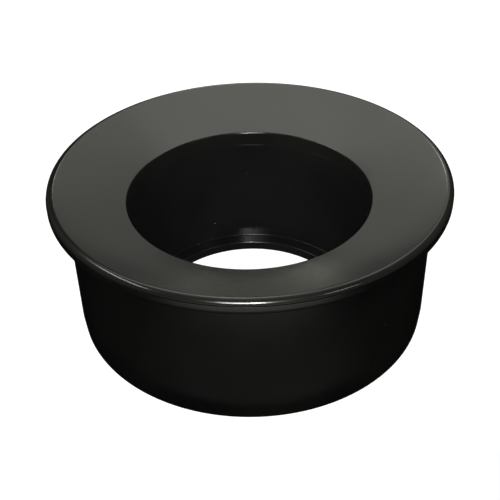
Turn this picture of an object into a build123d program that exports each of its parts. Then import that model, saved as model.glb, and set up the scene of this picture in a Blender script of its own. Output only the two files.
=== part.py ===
"""Toilet flange for a 4-inch drain pipe, in three moulded plastic pieces.

The part stands on z = 0 with its axis on Z. All sizes are in millimetres.
Each piece is a lathe-turned outline of (radius, height) points, plus the ribs under the flange.
"""

from build123d import *
import os
from math import cos, radians, sqrt, tan

# ---- Driving dimensions ----------------------------------------------------------------------

total_height = 83.5          # base to the highest point of the rim
pipe_outside_radius = 57.15  # 4-inch pipe that slides into the socket
pipe_clearance = 0.1         # radial play of the pipe in the socket

# Cover ring: the dished face that is seen from above
rim_radius = 93.0
rim_round = 2.6              # large round at the top of the rim
cover_thickness = 2.4
cover_edge_height = 2.0      # top of the rim down to the seam
cover_edge_round = 0.2
dish_angle = 20.6            # slope of the face down to the hole, from level
hole_edge_round = 0.8
collar_wall = 1.7            # short collar under the hole's edge, level with the socket's wall
collar_bottom_depth = 19.6   # below the top of the rim

# Flange body: flange, web and outer skirt
flange_underside_depth = 7.1
flange_top_round = 0.2
flange_bottom_round = 2.5
seam_gap = 0.3               # groove that shows between the cover ring and the flange
skirt_radius = 84.8
skirt_wall = 3.5
skirt_bottom_depth = 72.7    # the skirt stops short of the tube's end
skirt_root_fillet = 1.0
skirt_edge_round = 0.6
lead_in_height = 7.3         # slight taper at the foot of the skirt
lead_in_depth = 0.6
web_thickness = 3.2
web_fillet = 1.5
boss_wall = 3.25             # short sleeve that the tube is cemented into
boss_bottom_depth = 30.0
boss_edge_round = 0.5

# Ribs between the sleeve and the skirt
rib_count = 8
rib_thickness = 2.4
rib_inner_depth = 28.5       # foot of a rib at the sleeve
rib_outer_depth = 22.0       # foot of a rib at the skirt

# Hub tube: the pipe socket, with a stop lip at its lower end
tube_wall = 4.0
stop_bore_radius = 50.2
stop_height = 5.2
stop_fillet = 0.6
stop_edge_round = 0.9
tube_foot_chamfer = 0.6
tube_top_gap = 0.4           # tube's top end to the cover ring above it

cement_gap = 0.05            # film between the tube and its sleeve
slip_gap = 0.1               # cover ring to the pieces that it drops into

# ---- Derived sizes ---------------------------------------------------------------------------

socket_radius = pipe_outside_radius + pipe_clearance
tube_radius = socket_radius + tube_wall
sleeve_radius = tube_radius + cement_gap
boss_radius = sleeve_radius + boss_wall
collar_radius = socket_radius
collar_outside_radius = collar_radius + collar_wall
counterbore_radius = collar_outside_radius + slip_gap
skirt_inside_radius = skirt_radius - skirt_wall

dish_slope = tan(radians(dish_angle))
cover_drop = cover_thickness / cos(radians(dish_angle))  # cover's thickness, measured upright
web_drop = web_thickness / cos(radians(dish_angle))
# Where the sloping face would meet the rim's upright side if the edge between them weren't rounded
rim_corner_height = total_height + rim_round * (dish_slope + 1 / cos(radians(dish_angle)) - 1)


def below_top(depth):
    """Height of a level that lies a given depth below the top of the rim."""
    return total_height - depth


def dish_height(radius):
    """Height of the cover ring's sloping face."""
    return rim_corner_height - (rim_radius - radius) * dish_slope


def cover_underside(radius):
    return dish_height(radius) - cover_drop


def web_top(radius):
    return cover_underside(radius) - slip_gap


def web_underside(radius):
    return web_top(radius) - web_drop


def radius_where(surface, height):
    """Radius at which one of the sloping surfaces reaches a height."""
    return rim_radius - (surface(rim_radius) - height) / dish_slope


def outline(points):
    """Closed outline of (radius, height) points."""
    return make_face(Polyline(*points, close=True))


def at_point(profile, point):
    """The corner of a profile at a (radius, height) point."""
    return min(profile.vertices(), key=lambda corner: (Vector(corner) - Vector(*point)).length)


def rounded(profile, corners):
    """Rounds each (point, radius) corner of a profile."""
    for point, radius in corners:
        profile = fillet(at_point(profile, point), radius)
    return profile


def turned(profile):
    """Solid of revolution about Z."""
    return revolve(Plane.XZ * profile, Axis.Z, 360)


def cover_ring():
    """Dished ring with a rounded rim and a short collar that plugs into the tube."""
    collar_bottom = below_top(collar_bottom_depth)
    lip_bottom = below_top(cover_edge_height)
    hole_corner = (collar_radius, dish_height(collar_radius))
    round_centre = Vector(rim_radius - rim_round, below_top(rim_round))
    round_start = round_centre + Vector(0, rim_round).rotate(Axis.Z, dish_angle)
    round_middle = round_centre + Vector(0, rim_round).rotate(Axis.Z, -dish_angle)
    lip_reach = sqrt(rim_round ** 2 - (lip_bottom - round_centre.Y) ** 2)
    lip_corner = (round_centre.X + lip_reach, lip_bottom)
    sides = Polyline(
        round_start,
        hole_corner,
        (collar_radius, collar_bottom),
        (collar_outside_radius, collar_bottom),
        (collar_outside_radius, cover_underside(collar_outside_radius)),
        (radius_where(cover_underside, lip_bottom), lip_bottom),
        lip_corner,
    )
    profile = make_face(sides + ThreePointArc(lip_corner, round_middle, round_start))
    return turned(rounded(profile, [
        (hole_corner, hole_edge_round),
        (lip_corner, cover_edge_round),
    ]))


def flange_body():
    """Flange, sloping web and straight outer skirt, with ribs under the web."""
    flange_top = below_top(cover_edge_height + seam_gap)
    flange_underside = below_top(flange_underside_depth)
    skirt_bottom = below_top(skirt_bottom_depth)
    boss_bottom = below_top(boss_bottom_depth)
    foot_radius = skirt_radius - lead_in_depth
    profile = outline([
        (sleeve_radius, web_top(sleeve_radius)),
        (radius_where(web_top, flange_top), flange_top),
        (rim_radius, flange_top),
        (rim_radius, flange_underside),
        (skirt_radius, flange_underside),
        (skirt_radius, skirt_bottom + lead_in_height),
        (foot_radius, skirt_bottom),
        (skirt_inside_radius, skirt_bottom),
        (skirt_inside_radius, web_underside(skirt_inside_radius)),
        (boss_radius, web_underside(boss_radius)),
        (boss_radius, boss_bottom),
        (sleeve_radius, boss_bottom),
    ])
    body = turned(rounded(profile, [
        ((rim_radius, flange_top), flange_top_round),
        ((rim_radius, flange_underside), flange_bottom_round),
        ((skirt_radius, flange_underside), skirt_root_fillet),
        ((foot_radius, skirt_bottom), skirt_edge_round),
        ((skirt_inside_radius, skirt_bottom), skirt_edge_round),
        ((skirt_inside_radius, web_underside(skirt_inside_radius)), web_fillet),
        ((boss_radius, web_underside(boss_radius)), web_fillet),
        ((boss_radius, boss_bottom), boss_edge_round),
    ]))
    for index in range(rib_count):
        turn = 360 * (index + 0.5) / rib_count
        body += Rot(0, 0, turn) * rib()
    return body


def rib():
    """One upright rib; its ends and top are buried in the sleeve, the skirt and the web."""
    inner = sleeve_radius + boss_wall / 2
    outer = skirt_inside_radius + skirt_wall / 2
    profile = outline([
        (inner, web_top(inner) - web_drop / 2),
        (outer, web_top(outer) - web_drop / 2),
        (outer, below_top(rib_outer_depth)),
        (inner, below_top(rib_inner_depth)),
    ])
    return extrude(Plane.XZ * profile, rib_thickness / 2, both=True)


def hub_tube():
    """Pipe socket, counterbored at the top for the collar, with a stop lip at the foot."""
    tube_top = cover_underside(counterbore_radius) - tube_top_gap
    shoulder = below_top(collar_bottom_depth)
    profile = outline([
        (tube_radius, 0),
        (tube_radius, tube_top),
        (counterbore_radius, tube_top),
        (counterbore_radius, shoulder),
        (socket_radius, shoulder),
        (socket_radius, stop_height),
        (stop_bore_radius, stop_height),
        (stop_bore_radius, 0),
    ])
    profile = rounded(profile, [
        ((socket_radius, stop_height), stop_fillet),
        ((stop_bore_radius, stop_height), stop_edge_round),
    ])
    feet = [at_point(profile, (tube_radius, 0)), at_point(profile, (stop_bore_radius, 0))]
    return turned(chamfer(feet, tube_foot_chamfer))


os.makedirs("parts", exist_ok=True)
export_step(cover_ring(), "parts/cover_ring.step")
export_step(flange_body(), "parts/flange_body.step")
export_step(hub_tube(), "parts/hub_tube.step")
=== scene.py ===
"""Looks of the toilet flange in black plastic: dished cover ring, flange with a skirt, and pipe socket.

Turned shapes are worked out in millimetres and built in metres. The studio is in metres throughout.
"""

from math import acos, ceil, cos, pi, radians, sin, sqrt, tan

import bmesh
import bpy
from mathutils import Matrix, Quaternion, Vector


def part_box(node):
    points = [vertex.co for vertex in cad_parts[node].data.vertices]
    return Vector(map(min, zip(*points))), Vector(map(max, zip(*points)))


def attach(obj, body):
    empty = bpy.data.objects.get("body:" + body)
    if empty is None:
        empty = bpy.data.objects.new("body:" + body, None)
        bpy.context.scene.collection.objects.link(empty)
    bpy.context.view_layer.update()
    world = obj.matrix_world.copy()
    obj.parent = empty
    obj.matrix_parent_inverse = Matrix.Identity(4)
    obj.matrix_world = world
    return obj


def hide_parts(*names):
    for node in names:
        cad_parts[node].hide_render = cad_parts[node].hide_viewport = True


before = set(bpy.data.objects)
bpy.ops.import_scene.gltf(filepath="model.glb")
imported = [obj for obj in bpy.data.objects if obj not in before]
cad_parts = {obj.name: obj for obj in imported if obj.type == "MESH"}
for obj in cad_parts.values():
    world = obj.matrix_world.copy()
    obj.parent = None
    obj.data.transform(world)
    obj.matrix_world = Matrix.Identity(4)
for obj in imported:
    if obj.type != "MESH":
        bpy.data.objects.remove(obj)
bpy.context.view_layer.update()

MM = 0.001
BODY = "root"


# ---- Sizes, in millimetres -------------------------------------------------------------------
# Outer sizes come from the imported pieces. The rest repeat the design's own sizes, except that a few edge
# rounds are smaller than the design's or are only made here.

cover_low, cover_high = (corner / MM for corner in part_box("cover_ring"))
body_low, body_high = (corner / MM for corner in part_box("flange_body"))
tube_low, tube_high = (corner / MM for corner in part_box("hub_tube"))

RIM_TOP = cover_high.z
RIM_RADIUS = body_high.x
COLLAR_BOTTOM = cover_low.z
SKIRT_BOTTOM = body_low.z
TUBE_RADIUS = tube_high.x
TUBE_TOP = tube_high.z
TUBE_BOTTOM = tube_low.z

RIM_ROUND = 2.6
DISH_ANGLE = radians(20.6)
COVER_THICKNESS = 2.4
COVER_EDGE_HEIGHT = 2.0
COVER_EDGE_ROUND = 0.15
HOLE_EDGE_ROUND = 0.8
COLLAR_WALL = 1.7
COLLAR_EDGE_ROUND = 0.1
SLIP_GAP = 0.1

SEAM_GAP = 0.3
FLANGE_UNDERSIDE = RIM_TOP - 7.1
FLANGE_TOP = RIM_TOP - COVER_EDGE_HEIGHT - SEAM_GAP
FLANGE_TOP_ROUND = 0.08    # sharper than the design's 0.2, so that the seam looks as thin as in the photo
FLANGE_BOTTOM_ROUND = 2.5
SKIRT_RADIUS = 84.8
SKIRT_WALL = 3.5
SKIRT_ROOT_FILLET = 1.0
SKIRT_EDGE_ROUND = 0.6
LEAD_IN_HEIGHT = 7.3
LEAD_IN_DEPTH = 0.6
LEAD_IN_ROUND = 4.0        # eases the skirt's upright side into its slight taper
WEB_THICKNESS = 3.2
WEB_FILLET = 1.5
BOSS_WALL = 3.25           # the boss is the sleeve around the tube
BOSS_BOTTOM = RIM_TOP - 30.0
BOSS_EDGE_ROUND = 0.5
CEMENT_GAP = 0.05
RIB_COUNT = 8
RIB_THICKNESS = 2.4
RIB_EDGE_BEVEL = 0.5
RIB_INNER_BOTTOM = RIM_TOP - 28.5
RIB_OUTER_BOTTOM = RIM_TOP - 22.0

TUBE_WALL = 4.0
STOP_BORE_RADIUS = 50.2
STOP_HEIGHT = 5.2
STOP_FILLET = 0.6
STOP_EDGE_ROUND = 0.9
TUBE_FOOT_ROUND = 0.6
COUNTERBORE_FILLET = 0.05

SOFT_EDGE = 0.25             # round of the edges that have none of their own
TURN_SEGMENTS = 288
ARC_STEP = radians(9)
LEAST_ARC_STEPS = 3
RIM_ARC_STEP = radians(4)
RIM_ARC_START = radians(32)  # up from level; leaves room for the round of the cover's lower edge
BEVEL_SEGMENTS = 3
LONGEST_STEP = 5.0           # longest straight step along an outline
HOLD = 0.12                  # distance to the extra ring beside each round, which keeps flats shaded flat

COVER_DROP = COVER_THICKNESS / cos(DISH_ANGLE)  # thicknesses measured upright
WEB_DROP = WEB_THICKNESS / cos(DISH_ANGLE)
SOCKET_RADIUS = TUBE_RADIUS - TUBE_WALL
COLLAR_OUTSIDE = SOCKET_RADIUS + COLLAR_WALL  # the collar is level with the socket inside
# Height at which the sloping face would meet the rim's upright side if the edge weren't rounded
RIM_CORNER = RIM_TOP + RIM_ROUND * (tan(DISH_ANGLE) + 1 / cos(DISH_ANGLE) - 1)


def dish_height(radius):
    """Height of the cover's sloping face."""
    return RIM_CORNER - (RIM_RADIUS - radius) * tan(DISH_ANGLE)


def cover_underside(radius):
    return dish_height(radius) - COVER_DROP


def web_top(radius):
    return cover_underside(radius) - SLIP_GAP


def web_underside(radius):
    return web_top(radius) - WEB_DROP


def radius_where(surface, height):
    """Radius at which one of the sloping surfaces reaches a height."""
    return RIM_RADIUS - (surface(RIM_RADIUS) - height) / tan(DISH_ANGLE)


# ---- Turned shapes ---------------------------------------------------------------------------

def rounded_corner(before, corner, after, radius):
    """Points of the arc that rounds a corner, with one holding point on each straight beside it."""
    back = (before - corner).normalized()
    ahead = (after - corner).normalized()
    opening = acos(max(-1.0, min(1.0, back.dot(ahead))))
    reach = radius / tan(opening / 2)
    start, end = corner + back * reach, corner + ahead * reach
    centre = corner + (back + ahead).normalized() * (radius / sin(opening / 2))
    first, last = start - centre, end - centre
    sweep = pi - opening
    steps = max(LEAST_ARC_STEPS, ceil(sweep / ARC_STEP))
    arc = []
    for step in range(steps + 1):
        part = step / steps
        direction = first * sin((1 - part) * sweep) + last * sin(part * sweep)
        arc.append(centre + direction / sin(sweep))
    return [start + back * HOLD, *arc, end + ahead * HOLD]


def smooth_outline(corners):
    """Closed outline of dense (radius, height) points from (radius, height, round) corners."""
    places = [Vector((radius, height)) for radius, height, _ in corners]
    points = []
    for index, (_, _, edge) in enumerate(corners):
        after = places[(index + 1) % len(places)]
        if edge:
            points += rounded_corner(places[index - 1], places[index], after, edge)
        else:
            points.append(places[index])
    dense = []
    for index, point in enumerate(points):
        ahead = points[(index + 1) % len(points)]
        steps = max(1, ceil((ahead - point).length / LONGEST_STEP))
        dense += [point.lerp(ahead, step / steps) for step in range(steps)]
    return dense


def turned(outline):
    """Closed mesh made by turning an outline about Z."""
    mesh = bmesh.new()
    rings = []
    for index in range(TURN_SEGMENTS):
        angle = 2 * pi * index / TURN_SEGMENTS
        rings.append([
            mesh.verts.new((radius * cos(angle) * MM, radius * sin(angle) * MM, height * MM))
            for radius, height in outline])
    for index, ring in enumerate(rings):
        following = rings[(index + 1) % TURN_SEGMENTS]
        for here in range(len(ring)):
            there = (here + 1) % len(ring)
            mesh.faces.new((ring[here], following[here], following[there], ring[there]))
    bmesh.ops.recalc_face_normals(mesh, faces=mesh.faces)
    return mesh


def as_object(name, mesh):
    """Smooth-shaded object from a bmesh."""
    data = bpy.data.meshes.new(name)
    mesh.to_mesh(data)
    mesh.free()
    data.shade_smooth()
    piece = bpy.data.objects.new(name, data)
    bpy.context.scene.collection.objects.link(piece)
    return piece


def rim_arc():
    """Corners along the large round of the rim, from above its lower edge up to the sloping face."""
    centre = Vector((RIM_RADIUS - RIM_ROUND, RIM_TOP - RIM_ROUND))
    sweep = pi / 2 + DISH_ANGLE - RIM_ARC_START
    steps = ceil(sweep / RIM_ARC_STEP)
    arc = []
    for step in range(steps + 1):
        angle = RIM_ARC_START + sweep * step / steps
        arc.append(centre + RIM_ROUND * Vector((cos(angle), sin(angle))))
    arc.append(arc[-1] - HOLD * Vector((cos(DISH_ANGLE), sin(DISH_ANGLE))))
    return [(point.x, point.y, 0) for point in arc]


def cover_outline():
    lip_bottom = RIM_TOP - COVER_EDGE_HEIGHT
    lip_reach = sqrt(RIM_ROUND ** 2 - (RIM_ROUND - COVER_EDGE_HEIGHT) ** 2)
    return smooth_outline([
        *rim_arc(),
        (SOCKET_RADIUS, dish_height(SOCKET_RADIUS), HOLE_EDGE_ROUND),
        (SOCKET_RADIUS, COLLAR_BOTTOM, COLLAR_EDGE_ROUND),
        (COLLAR_OUTSIDE, COLLAR_BOTTOM, COLLAR_EDGE_ROUND),
        (COLLAR_OUTSIDE, cover_underside(COLLAR_OUTSIDE), SOFT_EDGE),
        (radius_where(cover_underside, lip_bottom), lip_bottom, 0),
        (RIM_RADIUS - RIM_ROUND + lip_reach, lip_bottom, COVER_EDGE_ROUND),
    ])


def body_outline():
    sleeve = TUBE_RADIUS + CEMENT_GAP
    boss = sleeve + BOSS_WALL
    inside = SKIRT_RADIUS - SKIRT_WALL
    return smooth_outline([
        (sleeve, web_top(sleeve), SOFT_EDGE),
        (radius_where(web_top, FLANGE_TOP), FLANGE_TOP, 0),
        (RIM_RADIUS, FLANGE_TOP, FLANGE_TOP_ROUND),
        (RIM_RADIUS, FLANGE_UNDERSIDE, FLANGE_BOTTOM_ROUND),
        (SKIRT_RADIUS, FLANGE_UNDERSIDE, SKIRT_ROOT_FILLET),
        (SKIRT_RADIUS, SKIRT_BOTTOM + LEAD_IN_HEIGHT, LEAD_IN_ROUND),
        (SKIRT_RADIUS - LEAD_IN_DEPTH, SKIRT_BOTTOM, SKIRT_EDGE_ROUND),
        (inside, SKIRT_BOTTOM, SKIRT_EDGE_ROUND),
        (inside, web_underside(inside), WEB_FILLET),
        (boss, web_underside(boss), WEB_FILLET),
        (boss, BOSS_BOTTOM, BOSS_EDGE_ROUND),
        (sleeve, BOSS_BOTTOM, SOFT_EDGE),
    ])


def tube_outline():
    counterbore = COLLAR_OUTSIDE + SLIP_GAP
    return smooth_outline([
        (TUBE_RADIUS, TUBE_BOTTOM, TUBE_FOOT_ROUND),
        (TUBE_RADIUS, TUBE_TOP, SOFT_EDGE),
        (counterbore, TUBE_TOP, SOFT_EDGE),
        (counterbore, COLLAR_BOTTOM, COUNTERBORE_FILLET),
        (SOCKET_RADIUS, COLLAR_BOTTOM, COLLAR_EDGE_ROUND),
        (SOCKET_RADIUS, STOP_HEIGHT, STOP_FILLET),
        (STOP_BORE_RADIUS, STOP_HEIGHT, STOP_EDGE_ROUND),
        (STOP_BORE_RADIUS, TUBE_BOTTOM, TUBE_FOOT_ROUND),
    ])


def rib(turn):
    """Closed wedge-shaped rib, its ends buried in the sleeve and the skirt and its top in the web."""
    inner = TUBE_RADIUS + CEMENT_GAP + BOSS_WALL / 2
    outer = SKIRT_RADIUS - SKIRT_WALL / 2
    side = [
        (inner, web_top(inner) - WEB_DROP / 2),
        (outer, web_top(outer) - WEB_DROP / 2),
        (outer, RIB_OUTER_BOTTOM),
        (inner, RIB_INNER_BOTTOM),
    ]
    mesh = bmesh.new()
    faces = [
        mesh.faces.new([mesh.verts.new((r * MM, y * MM, z * MM)) for r, z in side])
        for y in (-RIB_THICKNESS / 2, RIB_THICKNESS / 2)
    ]
    near, far = (list(face.verts) for face in faces)
    for here in range(len(side)):
        there = (here + 1) % len(side)
        mesh.faces.new((near[here], near[there], far[there], far[here]))
    bmesh.ops.recalc_face_normals(mesh, faces=mesh.faces)
    foot_limit = (RIB_OUTER_BOTTOM + HOLD) * MM
    feet = [edge for edge in mesh.edges if all(corner.co.z < foot_limit for corner in edge.verts)]
    bmesh.ops.bevel(
        mesh, geom=feet, offset=RIB_EDGE_BEVEL * MM, segments=BEVEL_SEGMENTS, profile=0.5, affect="EDGES")
    around = Quaternion((0, 0, 1), turn).to_matrix()
    bmesh.ops.rotate(mesh, cent=(0, 0, 0), matrix=around, verts=mesh.verts)
    return mesh


def join_solid(piece, tool):
    """Unites a second closed solid with a piece."""
    union = piece.modifiers.new("union", "BOOLEAN")
    union.operation = "UNION"
    union.solver = "EXACT"
    union.object = tool
    with bpy.context.temp_override(object=piece):
        bpy.ops.object.modifier_apply(modifier=union.name)
    bpy.data.objects.remove(tool)


# ---- Materials -------------------------------------------------------------------------------

# How fine the marks on the plastic are, in cells or waves per metre; MARKS_AROUND is per radian
CLOUD_SCALE = 22
GRAIN_SCALE = 2600
WAVE_SCALE = 60
MARKS_ACROSS, MARKS_AROUND = 2400, 2.2
SPECK_CELLS = 210
SPECK_SIZE = 0.055   # in parts of a cell
SPECK_SHARE = 0.07   # share of the cells that hold a speck
DUST_COLOUR = (0.16, 0.16, 0.15)

SCRATCH_FROM, SCRATCH_FULL = 0.60, 0.74     # levels of the marks' noise at which a scratch starts and is full
SCRATCH_DULLING, SPECK_DULLING = 0.12, 0.4  # added to the roughness
GLOSSIEST, DULLEST = 0.85, 1.2              # in parts of the plastic's own roughness
WAVE_STRENGTH, WAVE_DEPTH = 0.14, 0.0004    # depths in metres
GRAIN_STRENGTH, GRAIN_DEPTH = 0.10, 0.00004
SCRATCH_STRENGTH, SCRATCH_DEPTH = 0.12, 0.00002

PAPER_SCALE = 35
PAPER_DARKEST = 0.94
PAPER_ROUGHNESS = 0.9


class Graph:
    """Short names for the nodes that the materials and the surround are built from."""

    def __init__(self, tree, coordinates="Object"):
        self.tree = tree
        self.place = tree.nodes.new("ShaderNodeTexCoord").outputs[coordinates]

    def link(self, source, target):
        self.tree.links.new(source, target)

    def math(self, operation, *values):
        node = self.tree.nodes.new("ShaderNodeMath")
        node.operation = operation
        for socket, value in zip(node.inputs, values):
            if isinstance(value, (int, float)):
                socket.default_value = value
            else:
                self.link(value, socket)
        return node.outputs[0]

    def noise(self, scale, detail=4.0, rough=0.5, place=None):
        node = self.tree.nodes.new("ShaderNodeTexNoise")
        node.inputs["Scale"].default_value = scale
        node.inputs["Detail"].default_value = detail
        node.inputs["Roughness"].default_value = rough
        self.link(place or self.place, node.inputs["Vector"])
        return node.outputs["Fac"]

    def spread(self, value, low, high, to_low, to_high):
        """Maps low..high to to_low..to_high, clamped and eased."""
        node = self.tree.nodes.new("ShaderNodeMapRange")
        node.interpolation_type = "SMOOTHSTEP"
        for name, number in zip(("From Min", "From Max", "To Min", "To Max"), (low, high, to_low, to_high)):
            node.inputs[name].default_value = number
        self.link(value, node.inputs["Value"])
        return node.outputs["Result"]

    def split_place(self):
        split = self.tree.nodes.new("ShaderNodeSeparateXYZ")
        self.link(self.place, split.inputs[0])
        return split.outputs

    def polar(self):
        """Distance from the axis, and the angle around it, which is 0 on the camera's side."""
        x, y, _ = self.split_place()
        radius = self.math("SQRT", self.math("ADD", self.math("MULTIPLY", x, x), self.math("MULTIPLY", y, y)))
        return radius, self.math("ARCTAN2", x, self.math("MULTIPLY", y, -1))

    def round_place(self, across, around, up):
        """Coordinates that run across, around and up a turned piece, for marks that follow its turning."""
        radius, angle = self.polar()
        z = self.split_place()[2]
        join = self.tree.nodes.new("ShaderNodeCombineXYZ")
        for socket, value, scale in zip(join.inputs, (radius, angle, z), (across, around, up)):
            self.link(self.math("MULTIPLY", value, scale), socket)
        return join.outputs[0]

    def specks(self, cells, size, share):
        """Small round specks: 1 inside a speck, 0 elsewhere, in a given share of the cells."""
        node = self.tree.nodes.new("ShaderNodeTexVoronoi")
        node.inputs["Scale"].default_value = cells
        self.link(self.place, node.inputs["Vector"])
        split = self.tree.nodes.new("ShaderNodeSeparateColor")
        self.link(node.outputs["Color"], split.inputs[0])
        chosen = self.math("GREATER_THAN", split.outputs[0], 1 - share)
        inside = self.spread(node.outputs["Distance"], size * 0.5, size, 1.0, 0.0)
        return self.math("MULTIPLY", chosen, inside)

    def mix(self, factor, first, second):
        node = self.tree.nodes.new("ShaderNodeMix")
        node.data_type = "RGBA"
        self.link(factor, node.inputs["Factor"])
        for socket, colour in ((node.inputs[6], first), (node.inputs[7], second)):
            if isinstance(colour, tuple):
                socket.default_value = (*colour, 1)
            else:
                self.link(colour, socket)
        return node.outputs[2]

    def bump(self, height, strength, distance, under=None):
        node = self.tree.nodes.new("ShaderNodeBump")
        node.inputs["Strength"].default_value = strength
        node.inputs["Distance"].default_value = distance
        self.link(height, node.inputs["Height"])
        if under:
            self.link(under, node.inputs["Normal"])
        return node.outputs[0]


def new_material(name):
    material = bpy.data.materials.new(name)
    material.use_nodes = True
    return material, Graph(material.node_tree), material.node_tree.nodes["Principled BSDF"].inputs


def plastic(name, shade, tint, roughness, specular, swirl, dust):
    """Black moulded plastic: faint turning marks, slight waviness, cloudy gloss, and a few specks of dust."""
    material, graph, surface = new_material(name)
    cloud = graph.noise(CLOUD_SCALE, detail=5)
    grain = graph.noise(GRAIN_SCALE, detail=2)
    along_turning = graph.round_place(MARKS_ACROSS, MARKS_AROUND, MARKS_ACROSS)
    marks = graph.noise(1.0, detail=6, rough=0.65, place=along_turning)
    scratches = graph.spread(marks, SCRATCH_FROM, SCRATCH_FULL, 0.0, 1.0)
    specks = graph.math("MULTIPLY", graph.specks(SPECK_CELLS, SPECK_SIZE, SPECK_SHARE), dust)

    black = graph.mix(graph.spread(cloud, 0.35, 0.7, 0, 1), shade, tint)
    graph.link(graph.mix(specks, black, DUST_COLOUR), surface["Base Color"])

    gloss = graph.spread(cloud, 0.3, 0.75, roughness * GLOSSIEST, roughness * DULLEST)
    gloss = graph.math("ADD", gloss, graph.math("MULTIPLY", scratches, swirl * SCRATCH_DULLING))
    gloss = graph.math("ADD", gloss, graph.math("MULTIPLY", specks, SPECK_DULLING))
    graph.link(gloss, surface["Roughness"])

    waves = graph.bump(graph.noise(WAVE_SCALE, detail=2), WAVE_STRENGTH, WAVE_DEPTH)
    fine = graph.bump(grain, GRAIN_STRENGTH, GRAIN_DEPTH, under=waves)
    swirls = graph.bump(scratches, SCRATCH_STRENGTH * swirl, SCRATCH_DEPTH, under=fine)
    graph.link(swirls, surface["Normal"])
    surface["Specular IOR Level"].default_value = specular
    return material


def sheet_material(name, shade, tint=(1, 1, 1)):
    """Studio paper that is lit from within, so that it stays pale in the shade."""
    material, graph, surface = new_material(name)
    paper = graph.spread(graph.noise(PAPER_SCALE, detail=4), 0.3, 0.7, 0, 1)
    graph.link(graph.mix(paper, (shade,) * 3, (shade * PAPER_DARKEST,) * 3), surface["Base Color"])
    surface["Roughness"].default_value = PAPER_ROUGHNESS
    surface["Specular IOR Level"].default_value = 0.0
    surface["Emission Color"].default_value = (*tint, 1)
    return material, graph, surface["Emission Strength"]


# ---- Pieces ----------------------------------------------------------------------------------

def dress(piece, node, material):
    """Gives a piece its material and puts it in the place of its CAD node."""
    piece.data.materials.append(material)
    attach(piece, BODY)
    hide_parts(node)


cover = as_object("cover_ring_face", turned(cover_outline()))
dress(cover, "cover_ring", plastic(
    "cover_plastic", (0.0045, 0.0048, 0.0042), (0.006, 0.0065, 0.0055),
    roughness=0.165, specular=0.5, swirl=1.0, dust=0.5))

shell = as_object("flange_and_skirt", turned(body_outline()))
for index in range(RIB_COUNT):
    turn = 2 * pi * (index + 0.5) / RIB_COUNT
    join_solid(shell, as_object("rib", rib(turn)))
# The flange and skirt are the same black plastic as the cover; their darker colour is painted shade that
# keeps the skirt dark.
dress(shell, "flange_body", plastic(
    "body_plastic", (0.0013, 0.0015, 0.0013), (0.0021, 0.0024, 0.0020),
    roughness=0.19, specular=0.22, swirl=0.35, dust=0.6))

tube = as_object("pipe_socket_tube", turned(tube_outline()))
dress(tube, "hub_tube", plastic(
    "tube_plastic", (0.0036, 0.0040, 0.0036), (0.0050, 0.0055, 0.0050),
    roughness=0.20, specular=0.25, swirl=0.7, dust=1.0))


# ---- Studio, in metres -----------------------------------------------------------------------

FLOOR_RADIUS = 1.3
WALL_HEIGHT = 2.0
ROUND_SEGMENTS = 96
SHEET_SHADE = 0.16
SHEET_GLOW = 1.0

CARD_SHADE = 0.01
CARD_NEAR, CARD_MIDDLE, CARD_FAR = 0.103, 0.184, 0.75
CARD_FADE_FROM, CARD_HALF_ANGLE = radians(12), radians(48)
CARD_STEPS = 48
CARD_HEIGHT = 0.0005
CARD_GLOW, CARD_DIM_GLOW = 2.4, 0.15
CARD_BLEND = 0.002       # half the width of the change from dim to bright at CARD_MIDDLE

BACK_CARD_SLOPE = radians(47)
BACK_CARD_NEAR, BACK_CARD_FAR = 0.12, 0.62
BACK_CARD_HALF_WIDTH = 0.24
BACK_CARD_GLOW = 2.5
BACK_CARD_GLOW_BACKWARD, BACK_CARD_GLOW_RIGHTWARD = -1.9, -1.2  # change of the glow per metre

LEFT_FLAG_PLACE = 0.33   # behind the part's axis
LEFT_FLAG_OUTLINE = (    # across, and up from the rim
    (-0.066, 0.09), (-0.058, 0.19), (-0.070, 0.25), (-0.13, 0.36), (-0.40, 0.62), (-0.40, 0.09))

STUDIO_TINT = (1.0, 1.02, 0.92)
# Brightness of the surround at each elevation, in degrees
DOME_LEVELS = (
    (-90, 0.03), (-8, 0.05), (-2, 0.20), (3, 0.33), (9, 0.42), (15, 0.52), (23, 0.66), (31, 0.90),
    (40, 1.20), (48, 1.52), (53, 1.65), (58, 0.6), (66, 0.3), (90, 0.3))
# Where its brightness changes otherwise: two limits, and the factors below and above them
WALL_GAP = (0.10, 0.30, 0.3, 1)               # by |x| / up: a dimmer gap between the two pale walls
GAP_END = (0.50, 0.56, 0, 1)                  # by up: the gap ends at this height
WALL_ENDS = (0.27, 0.42, 1, 0.1)              # by |x|: the walls' outer ends
FRONT_TO_BACK = (-0.1, 0.25, 0.15, 1)         # by y: dim in front of the part
LEFT_TO_RIGHT = (-0.06, 0.06, 1.15, 0.88)     # by x: the left wall is the brighter one

# Name, azimuth and elevation in degrees, distance, width, height, radiance, colour
LAMPS = (
    ("front_softbox", -7, 39, 0.9, 0.20, 0.28, 26, (0.96, 0.98, 1.0)),
    ("flash", 1.5, 33, 0.45, 0.012, 0.012, 3500, (1.0, 1.0, 1.0)),
    ("back_window", 180.7, 34, 1.2, 0.12, 0.10, 9, (1.0, 1.0, 0.82)),
    ("right_lamp", 47, 34, 1.2, 0.30, 0.06, 12, (1.0, 1.0, 0.95)),
    ("left_lamp", -91, 50, 1.2, 0.70, 0.10, 12, (1.0, 1.0, 0.95)),
)

CAMERA_DISTANCE = 0.3985  # to the middle of the rim's top plane
CAMERA_ELEVATION = radians(31.95)
CAMERA_PAN = radians(1.62)
CAMERA_TILT = radians(3.56)
CAMERA_ROLL = radians(-1.50)
CAMERA_LENS = 62.0
CAMERA_SHIFT = (0.05, -0.05)


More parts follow.
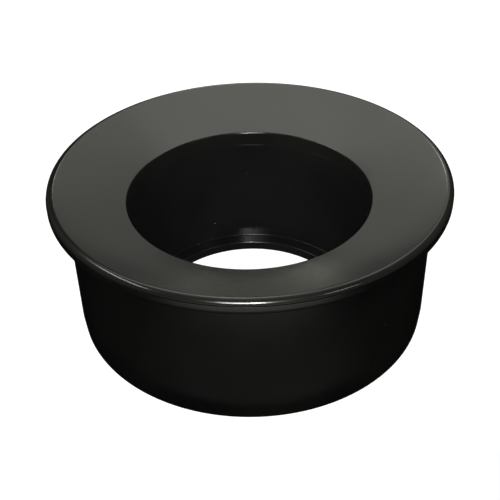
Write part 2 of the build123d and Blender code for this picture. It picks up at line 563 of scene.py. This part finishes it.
def pale_sheet(name, mesh):
    """Pale glowing sheet that the part doesn't mirror; it mirrors the cards and the surround instead."""
    sheet = as_object(name, mesh)
    sheet.location.z = TUBE_BOTTOM * MM
    sheet.visible_glossy = False
    material, _, glow = sheet_material(name, SHEET_SHADE)
    glow.default_value = SHEET_GLOW
    sheet.data.materials.append(material)
    return sheet


def floor():
    """Round pale floor under the part."""
    mesh = bmesh.new()
    bmesh.ops.create_circle(mesh, cap_ends=True, segments=ROUND_SEGMENTS, radius=FLOOR_RADIUS)
    pale_sheet("studio_floor", mesh)


def round_wall():
    """Pale round wall around the floor's edge, which casts no shadow and so lets the surround's light in."""
    mesh = bmesh.new()
    bmesh.ops.create_circle(mesh, segments=ROUND_SEGMENTS, radius=FLOOR_RADIUS)
    top = bmesh.ops.extrude_edge_only(mesh, edges=mesh.edges[:])["geom"]
    for vertex in top:
        if isinstance(vertex, bmesh.types.BMVert):
            vertex.co.z = WALL_HEIGHT
    wall = pale_sheet("studio_wall", mesh)
    wall.visible_shadow = False


def card(name, mesh, height, glow_of=None):
    """Studio card that only the part's reflections see: a glowing one, or a black flag without a glow."""
    sheet = as_object(name, mesh)
    sheet.location.z = height
    sheet.visible_camera = False
    material, graph, glow = sheet_material(name, CARD_SHADE, STUDIO_TINT)
    if glow_of:
        graph.link(glow_of(graph), glow)
    else:
        glow.default_value = 0
    sheet.data.materials.append(material)


def floor_card():
    """Card that lies on the floor in front of the part: bright further out, dim close to the skirt."""
    mesh = bmesh.new()
    rows = []
    for step in range(CARD_STEPS + 1):
        angle = CARD_HALF_ANGLE * (2 * step / CARD_STEPS - 1)
        rows.append([
            mesh.verts.new((reach * sin(angle), -reach * cos(angle), 0))
            for reach in (CARD_NEAR, CARD_MIDDLE, CARD_FAR)])
    for row, following in zip(rows, rows[1:]):
        for here in (0, 1):
            mesh.faces.new((row[here], row[here + 1], following[here + 1], following[here]))

    def glow(graph):
        radius, angle = graph.polar()
        outward = graph.spread(
            radius, CARD_MIDDLE - CARD_BLEND, CARD_MIDDLE + CARD_BLEND, CARD_DIM_GLOW, CARD_GLOW)
        sideways = graph.spread(graph.math("ABSOLUTE", angle), CARD_FADE_FROM, CARD_HALF_ANGLE, 1, 0)
        return graph.math("MULTIPLY", outward, sideways)

    card("studio_floor_card", mesh, TUBE_BOTTOM * MM + CARD_HEIGHT, glow)


def back_card():
    """Sloping card behind and above the part, edge-on to the front of the rim, for the back of the face."""
    mesh = bmesh.new()
    corners = [(-1, BACK_CARD_NEAR), (1, BACK_CARD_NEAR), (1, BACK_CARD_FAR), (-1, BACK_CARD_FAR)]
    mesh.faces.new([
        mesh.verts.new((side * BACK_CARD_HALF_WIDTH, y, (y + RIM_RADIUS * MM) * tan(BACK_CARD_SLOPE)))
        for side, y in corners])

    def glow(graph):
        x, y, _ = graph.split_place()
        lengthwise = graph.math("MULTIPLY_ADD", y, BACK_CARD_GLOW_BACKWARD, BACK_CARD_GLOW)
        return graph.math("MULTIPLY_ADD", x, BACK_CARD_GLOW_RIGHTWARD, lengthwise)

    card("studio_back_card", mesh, RIM_TOP * MM, glow)


def left_flag():
    """Black flag behind the part on its left, which keeps the left of the rim's round dark."""
    mesh = bmesh.new()
    mesh.faces.new([mesh.verts.new((x, LEFT_FLAG_PLACE, height)) for x, height in LEFT_FLAG_OUTLINE])
    card("studio_left_flag", mesh, RIM_TOP * MM)


def dome():
    """Soft surround: two pale walls behind the part, brightest over 50 degrees up, and a dim room."""
    world = bpy.data.worlds.new("studio")
    bpy.context.scene.world = world
    world.use_nodes = True
    graph = Graph(world.node_tree, "Generated")
    x, y, up = graph.split_place()
    aside = graph.math("ABSOLUTE", x)

    ramp = graph.tree.nodes.new("ShaderNodeValToRGB")
    stops = ramp.color_ramp.elements
    places = [(1 + sin(radians(elevation))) / 2 for elevation, _ in DOME_LEVELS]
    stops[0].position, stops[1].position = places[0], places[-1]
    for place in places[1:-1]:
        stops.new(place)
    for stop, (_, level) in zip(stops, DOME_LEVELS):
        stop.color = (*(level * part for part in STUDIO_TINT), 1)
    graph.link(graph.math("MULTIPLY_ADD", up, 0.5, 0.5), ramp.inputs["Fac"])

    gap = graph.spread(graph.math("DIVIDE", aside, up), *WALL_GAP)
    wall = graph.math("MAXIMUM", gap, graph.spread(up, *GAP_END))
    for value, change in ((aside, WALL_ENDS), (y, FRONT_TO_BACK), (x, LEFT_TO_RIGHT)):
        wall = graph.math("MULTIPLY", wall, graph.spread(value, *change))
    background = graph.tree.nodes["Background"]
    graph.link(ramp.outputs["Color"], background.inputs["Color"])
    graph.link(wall, background.inputs["Strength"])


def soft_light(name, azimuth, elevation, distance, width, height, radiance, colour):
    """Rectangular lamp that faces the rim; azimuth 0 is on the camera's side and 90 on the right."""
    light = bpy.data.lights.new(name, "AREA")
    light.shape = "RECTANGLE"
    light.size, light.size_y = width, height
    light.energy = radiance * pi * width * height
    light.color = colour
    lamp = bpy.data.objects.new(name, light)
    bpy.context.scene.collection.objects.link(lamp)
    a, e = radians(azimuth), radians(elevation)
    away = Vector((sin(a) * cos(e), -cos(a) * cos(e), sin(e)))
    lamp.location = Vector((0, 0, RIM_TOP * MM)) + away * distance
    lamp.rotation_mode = "QUATERNION"
    lamp.rotation_quaternion = away.to_track_quat("Z", "Y")


def camera():
    """Camera in front of the part, a little over 30 degrees up, and close enough for a strong perspective."""
    data = bpy.data.cameras.new("camera")
    data.lens = CAMERA_LENS
    data.shift_x, data.shift_y = CAMERA_SHIFT
    eye = bpy.data.objects.new("camera", data)
    bpy.context.scene.collection.objects.link(eye)
    target = Vector((0, 0, RIM_TOP * MM))
    away = Vector((0, -cos(CAMERA_ELEVATION), sin(CAMERA_ELEVATION)))
    eye.location = target + away * CAMERA_DISTANCE
    eye.rotation_mode = "QUATERNION"
    eye.rotation_quaternion = (
        (-away).to_track_quat("-Z", "Y")
        @ Quaternion((0, 1, 0), CAMERA_PAN)
        @ Quaternion((1, 0, 0), -CAMERA_TILT)
        @ Quaternion((0, 0, 1), CAMERA_ROLL)
    )
    bpy.context.scene.camera = eye


floor()
round_wall()
floor_card()
back_card()
left_flag()
dome()
for lamp in LAMPS:
    soft_light(*lamp)
camera()
bpy.context.scene.view_settings.view_transform = "Standard"
